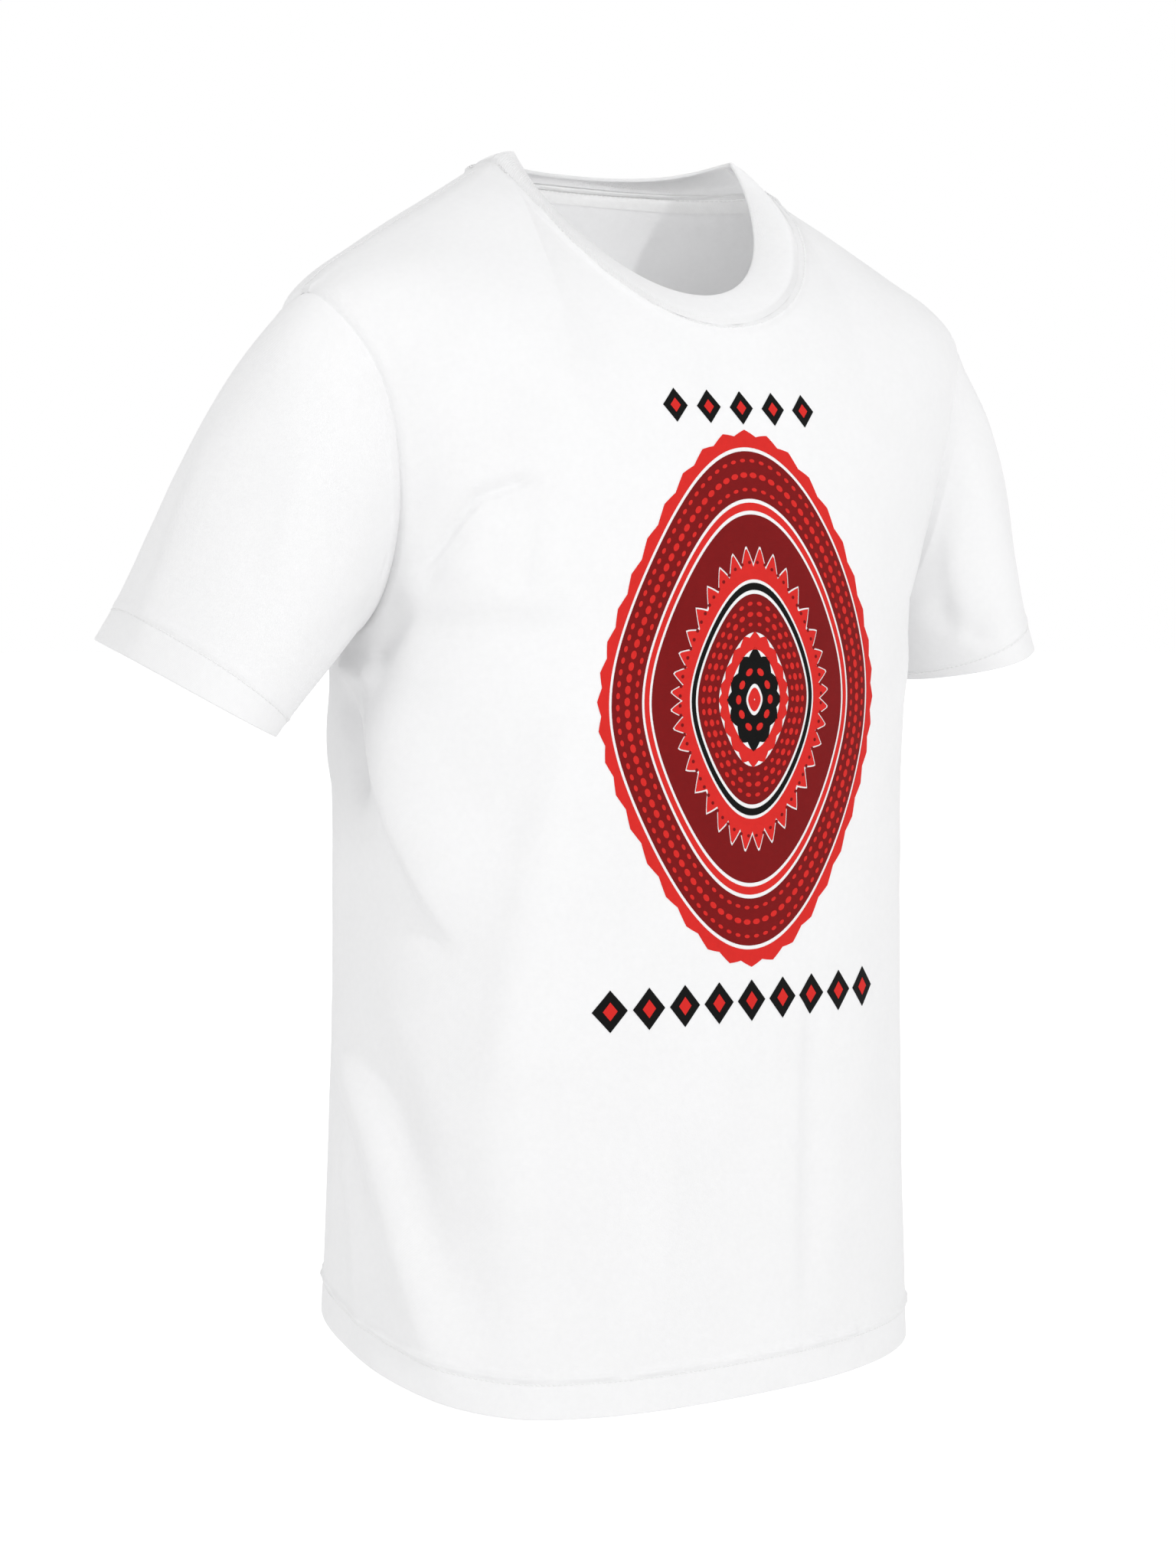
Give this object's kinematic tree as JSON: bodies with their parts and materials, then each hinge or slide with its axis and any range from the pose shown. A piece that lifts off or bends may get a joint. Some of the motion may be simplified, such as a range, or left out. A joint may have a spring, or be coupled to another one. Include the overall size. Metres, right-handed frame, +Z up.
{
  "type": "t-shirt",
  "caption": "Short-sleeved crew-neck T-shirt of white jersey, with a ribbed collar, stitched hems and a printed chest, held open as if worn.",
  "frame": {"origin": "middle of the shirt's plan, sleeves included, at the level of the hem's lowest edge", "axes": "+Z up from hem to collar, -Y out of the front, +X to the wearer's left"},
  "size_m": [0.6457, 0.2752, 0.7512],
  "materials": {
    "jersey": "matt white cotton jersey",
    "rib": "matt white rib knit",
    "twill": "matt off-white twill tape"
  },
  "bodies": {
    "root": {"front_panel": "jersey", "back_panel": "jersey", "front_hem": "jersey", "back_hem": "jersey", "right_sleeve": "jersey", "right_sleeve_hem": "jersey", "left_sleeve": "jersey", "left_sleeve_hem": "jersey", "collar": "rib", "neck_tape": "twill"}
  },
  "joints": []
}
